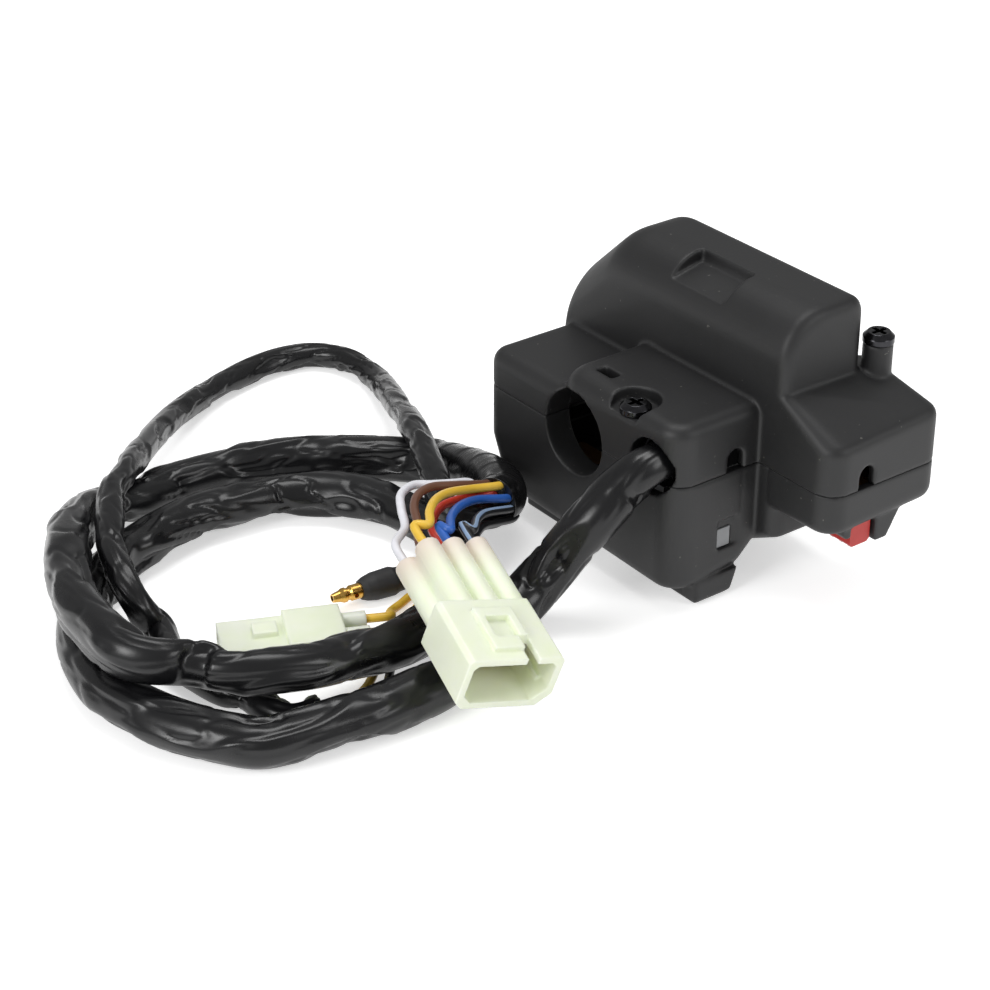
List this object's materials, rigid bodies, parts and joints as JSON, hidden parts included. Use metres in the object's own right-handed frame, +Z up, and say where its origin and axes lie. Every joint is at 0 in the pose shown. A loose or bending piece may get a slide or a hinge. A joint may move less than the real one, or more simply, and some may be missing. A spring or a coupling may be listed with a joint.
{
  "type": "handlebar switch cluster",
  "caption": "Black two-part handlebar switch cluster with a tall tower, slide and push switches, and a long black sleeved harness ending in pale nylon connectors and a brass bullet.",
  "frame": {"origin": "centre of the handlebar bore on the clamp mouth face", "axes": "+X along the bar into the casing, +Y across the bar away from the harness exit, +Z up from the parting plane to the tower"},
  "size_m": [0.2014, 0.202, 0.0758],
  "materials": {
    "case_plastic": "fine-textured black moulding",
    "screw_black": "black zinc, glossy",
    "tie_nylon": "black nylon",
    "knob_red": "moulded red",
    "button_plastic": "moulded black",
    "switch_plastic": "light grey moulding",
    "carrier_nylon": "natural nylon",
    "spring_steel": "bright drawn steel",
    "board_laminate": "brown paper laminate",
    "sleeve_vinyl": "creased black vinyl tube",
    "tape_vinyl": "black vinyl tape, wound",
    "wire_white": "vinyl insulation",
    "wire_brown": "vinyl insulation",
    "wire_red": "vinyl insulation",
    "wire_yellow": "vinyl insulation",
    "wire_blue": "vinyl insulation",
    "wire_striped": "black vinyl insulation with a pale blue tracer",
    "wire_black": "vinyl insulation",
    "connector_nylon": "translucent natural nylon, pale green-white",
    "boot_rubber": "soft black sleeve",
    "brass": "bright stamped brass"
  },
  "bodies": {
    "housing": {"rear_case": "case_plastic", "front_case": "case_plastic", "pad_screw_1": "screw_black", "block_screw_1": "screw_black", "cable_tie": "tie_nylon", "stop_board": "board_laminate", "stop_contacts": "brass", "light_board": "board_laminate", "light_contacts": "brass", "start_spring": "spring_steel", "start_body": "switch_plastic", "start_plate": "board_laminate", "start_contacts": "brass", "horn_spring": "spring_steel", "horn_body": "switch_plastic", "horn_plate": "board_laminate", "horn_contacts": "brass", "main_sleeve": "sleeve_vinyl", "tape_wrap": "tape_vinyl", "branch_sleeve": "sleeve_vinyl", "wire_white": "wire_white", "wire_brown": "wire_brown", "wire_red": "wire_red", "wire_yellow": "wire_yellow", "wire_blue": "wire_blue", "wire_striped": "wire_striped", "wire_black": "wire_black", "connector": "connector_nylon", "connector_blades": "brass", "plug": "connector_nylon", "plug_terminals": "brass", "bullet_terminal": "brass", "bullet_boot": "boot_rubber", "bullet_lead": "wire_black", "plug_lead": "wire_yellow"},
    "stop_slider": {"stop_knob": "knob_red", "stop_carrier": "carrier_nylon", "stop_ball": "spring_steel", "stop_spring": "spring_steel", "stop_bridge": "brass"},
    "light_slider": {"light_knob": "button_plastic", "light_carrier": "carrier_nylon", "light_ball": "spring_steel", "light_spring": "spring_steel", "light_bridge": "brass"},
    "start_plunger": {"start_button": "button_plastic", "start_bridge": "brass"},
    "horn_plunger": {"horn_button": "button_plastic", "horn_bridge": "brass"}
  },
  "joints": [
    {"name": "stop_slide", "type": "slide", "parent": "housing", "child": "stop_slider", "axis": [0, 1, 0], "range_m": [0, 0.006]},
    {"name": "light_slide", "type": "slide", "parent": "housing", "child": "light_slider", "axis": [0, 1, 0], "range_m": [-0.004, 0.004]},
    {"name": "start_press", "type": "slide", "parent": "housing", "child": "start_plunger", "axis": [0, 0, 1], "range_m": [0, 0.0025], "stiffness_N_per_m": 900, "springref_m": -0.002, "deforming": ["start_spring"]},
    {"name": "horn_press", "type": "slide", "parent": "housing", "child": "horn_plunger", "axis": [0, 0, 1], "range_m": [0, 0.0025], "stiffness_N_per_m": 900, "springref_m": -0.002, "deforming": ["horn_spring"]}
  ]
}
